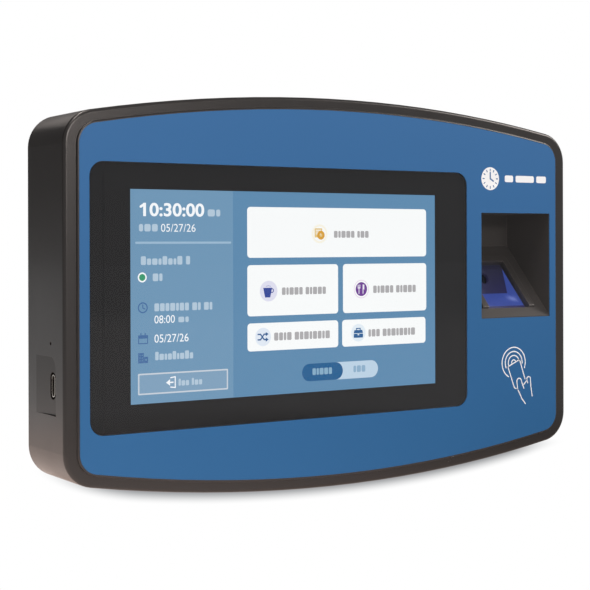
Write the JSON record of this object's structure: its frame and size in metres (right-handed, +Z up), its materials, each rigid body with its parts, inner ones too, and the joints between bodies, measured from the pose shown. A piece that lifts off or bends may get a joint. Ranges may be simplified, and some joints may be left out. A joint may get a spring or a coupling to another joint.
{
  "type": "fingerprint scanner terminal",
  "caption": "Wall-hung time clock terminal: bowed black case, blue fascia, touch display, sloped fingerprint reader well, side port, hooked wall plate.",
  "frame": {"origin": "middle of the wall plate's rear face", "axes": "+X to the right seen from the front, +Y back into the wall, +Z up"},
  "size_m": [0.2639, 0.038, 0.1698],
  "materials": {
    "case_black": "fine moulded grain, satin",
    "fascia_blue": "satin printed sheet",
    "cover_glass": "clear, polished",
    "border_black": "black print under glass",
    "foam_black": "closed-cell foam",
    "touch_film": "clear film",
    "lcd_panel": "lit display",
    "light_guide": "milky acrylic",
    "zinc_steel": "zinc plated sheet",
    "plate_steel": "black powder coat",
    "screw_steel": "plated screws",
    "well_black": "fine moulded grain",
    "platen_glass": "coated reader window",
    "prism_clear": "clear prism",
    "cradle_blue": "lit from inside",
    "lens_black": "lens barrel",
    "board_green": "solder mask",
    "led_clear": "clear LEDs",
    "brass": "turned brass",
    "chip_black": "epoxy",
    "aluminium": "black anodised or plain",
    "jack_shield": "tinned shell",
    "gold": "gold flash",
    "port_steel": "drawn steel shell",
    "port_tongue": "moulded",
    "button_grey": "moulded",
    "speaker_steel": "plated",
    "cone_paper": "pressed paper",
    "copper": "bare copper",
    "lead_black": "sheath",
    "ribbon_white": "flat cable"
  },
  "bodies": {
    "wall_plate": {"wall_plate": "plate_steel"},
    "terminal": {"housing": "case_black", "back_cover": "case_black", "fascia_panel": "fascia_blue", "cover_glass": "cover_glass", "glass_border": "border_black", "glass_tape": "foam_black", "lcd_cushions": "foam_black", "speaker_gasket": "foam_black", "touch_sensor": "touch_film", "lcd_panel": "lcd_panel", "light_guide": "light_guide", "lcd_tray": "zinc_steel", "lcd_bracket": "zinc_steel", "radio_module": "zinc_steel", "case_screws": "screw_steel", "bracket_screws": "screw_steel", "well_screws": "screw_steel", "board_screws": "screw_steel", "io_screws": "screw_steel", "finger_well": "well_black", "sensor_platen": "platen_glass", "sensor_prism": "prism_clear", "sensor_cradle": "cradle_blue", "sensor_lens": "lens_black", "main_board": "board_green", "io_board": "board_green", "sensor_board": "board_green", "sensor_led_board": "board_green", "card_antenna_board": "board_green", "wifi_antenna": "board_green", "sensor_leds": "led_clear", "board_standoffs": "brass", "io_standoffs": "brass", "power_pin": "brass", "processor": "chip_black", "memory_chips": "chip_black", "ribbon_sockets": "chip_black", "battery_holder": "chip_black", "power_jack": "chip_black", "reset_switch": "chip_black", "heat_spreader": "aluminium", "capacitors": "aluminium", "network_jack": "jack_shield", "backup_battery": "jack_shield", "network_contacts": "gold", "usb_port_shell": "port_steel", "usb_port_tongue": "port_tongue", "speaker_frame": "speaker_steel", "speaker_magnet": "speaker_steel", "speaker_cone": "cone_paper", "card_antenna_coil": "copper", "antenna_lead": "lead_black", "lcd_ribbon": "ribbon_white", "io_ribbon": "ribbon_white", "sensor_ribbon": "ribbon_white"},
    "reset_button": {"reset_button": "button_grey"}
  },
  "joints": [
    {"name": "terminal_lift", "type": "slide", "parent": "wall_plate", "child": "terminal", "axis": [0, 0, 1], "range_m": [0, 0.008]},
    {"name": "reset_press", "type": "slide", "parent": "terminal", "child": "reset_button", "axis": [1, 0, 0], "range_m": [0, 0.0003], "stiffness_N_per_m": 2000}
  ]
}
